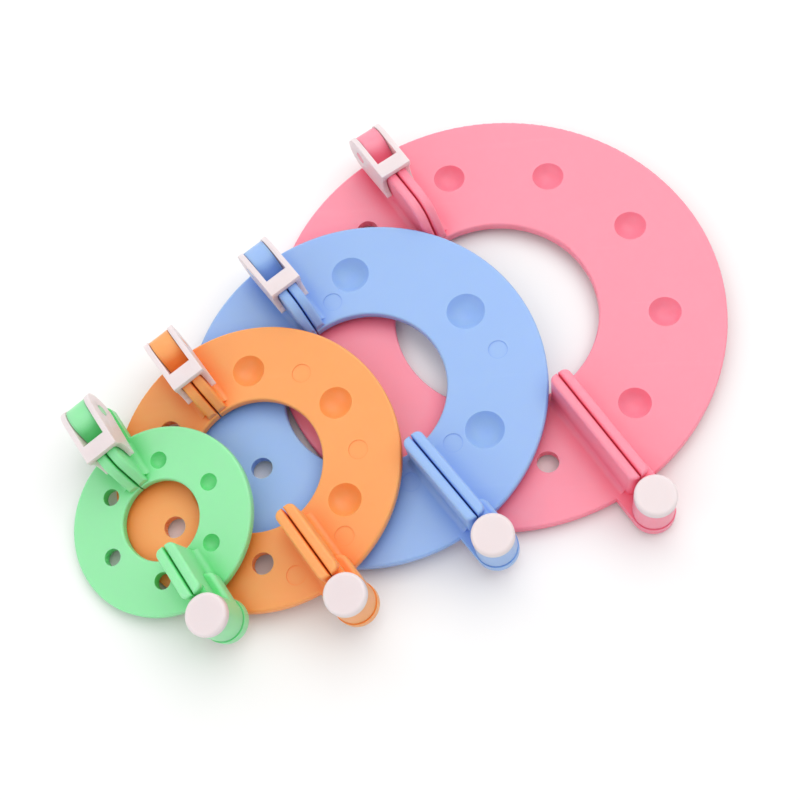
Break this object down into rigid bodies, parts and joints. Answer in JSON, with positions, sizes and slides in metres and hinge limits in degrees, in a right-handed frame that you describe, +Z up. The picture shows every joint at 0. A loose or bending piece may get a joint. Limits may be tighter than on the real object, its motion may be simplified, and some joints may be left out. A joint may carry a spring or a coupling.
{
  "type": "pompom maker set",
  "caption": "Set of graded ring-shaped pompom makers, each a hinged pair of half-ring arms with a pivot cap and a swing latch, lying in a leaning pile.",
  "frame": {"origin": "on the table top, at the middle of the bounding box seen from above", "axes": "+Z up from the table; +Y towards the largest ring's far side; the pile steps down in size towards -X and -Y"},
  "size_m": [0.1278, 0.1118, 0.0165],
  "materials": {
    "pink_plastic": "satin",
    "blue_plastic": "satin",
    "orange_plastic": "satin",
    "green_plastic": "satin",
    "white_plastic": "satin"
  },
  "bodies": {
    "large_holed": {"large_holed_arm": "pink_plastic"},
    "large_pegged": {"large_pegged_arm": "pink_plastic", "large_pivot_cap": "white_plastic"},
    "large_clasp": {"large_latch": "white_plastic"},
    "medium_holed": {"medium_holed_arm": "blue_plastic"},
    "medium_pegged": {"medium_pegged_arm": "blue_plastic", "medium_pivot_cap": "white_plastic"},
    "medium_clasp": {"medium_latch": "white_plastic"},
    "small_holed": {"small_holed_arm": "orange_plastic"},
    "small_pegged": {"small_pegged_arm": "orange_plastic", "small_pivot_cap": "white_plastic"},
    "small_clasp": {"small_latch": "white_plastic"},
    "mini_holed": {"mini_holed_arm": "green_plastic"},
    "mini_pegged": {"mini_pegged_arm": "green_plastic", "mini_pivot_cap": "white_plastic"},
    "mini_clasp": {"mini_latch": "white_plastic"}
  },
  "joints": [
    {"name": "large_open", "type": "hinge", "parent": "large_holed", "child": "large_pegged", "pos_m": [0.04669, -0.03098, 0.00209], "axis": [0.0202, 0.0134, -0.9997], "range_deg": [0, 120]},
    {"name": "large_latch_lift", "type": "hinge", "parent": "large_pegged", "child": "large_clasp", "pos_m": [-0.00527, 0.04694, 0.00889], "axis": [-0.8327, -0.5532, -0.0243], "range_deg": [0, 120]},
    {"name": "medium_lift", "type": "slide", "parent": "large_holed", "child": "medium_pegged", "axis": [0, 0, 1], "range_m": [0, 0.03]},
    {"name": "medium_open", "type": "hinge", "parent": "medium_pegged", "child": "medium_holed", "pos_m": [0.01767, -0.03793, 0.00424], "axis": [-0.0612, -0.0463, 0.9971], "range_deg": [0, 120]},
    {"name": "medium_latch_lift", "type": "hinge", "parent": "medium_pegged", "child": "medium_clasp", "pos_m": [-0.02675, 0.01994, 0.01102], "axis": [-0.7952, -0.6014, -0.0767], "range_deg": [0, 120]},
    {"name": "small_lift", "type": "slide", "parent": "medium_holed", "child": "small_pegged", "axis": [0, 0, 1], "range_m": [0, 0.03]},
    {"name": "small_open", "type": "hinge", "parent": "small_pegged", "child": "small_holed", "pos_m": [-0.00797, -0.04813, 0.00515], "axis": [-0.1203, -0.0858, 0.989], "range_deg": [0, 120]},
    {"name": "small_latch_lift", "type": "hinge", "parent": "small_pegged", "child": "small_clasp", "pos_m": [-0.04398, 0.00063, 0.01187], "axis": [-0.8052, -0.5743, -0.1478], "range_deg": [0, 120]},
    {"name": "mini_lift", "type": "slide", "parent": "small_holed", "child": "mini_pegged", "axis": [0, 0, 1], "range_m": [0, 0.03]},
    {"name": "mini_open", "type": "hinge", "parent": "mini_pegged", "child": "mini_holed", "pos_m": [-0.03188, -0.05083, 0.0052], "axis": [-0.1949, -0.13, 0.9722], "range_deg": [0, 120]},
    {"name": "mini_latch_lift", "type": "hinge", "parent": "mini_pegged", "child": "mini_clasp", "pos_m": [-0.05887, -0.01323, 0.01181], "axis": [-0.8088, -0.5394, -0.2343], "range_deg": [0, 120]}
  ]
}
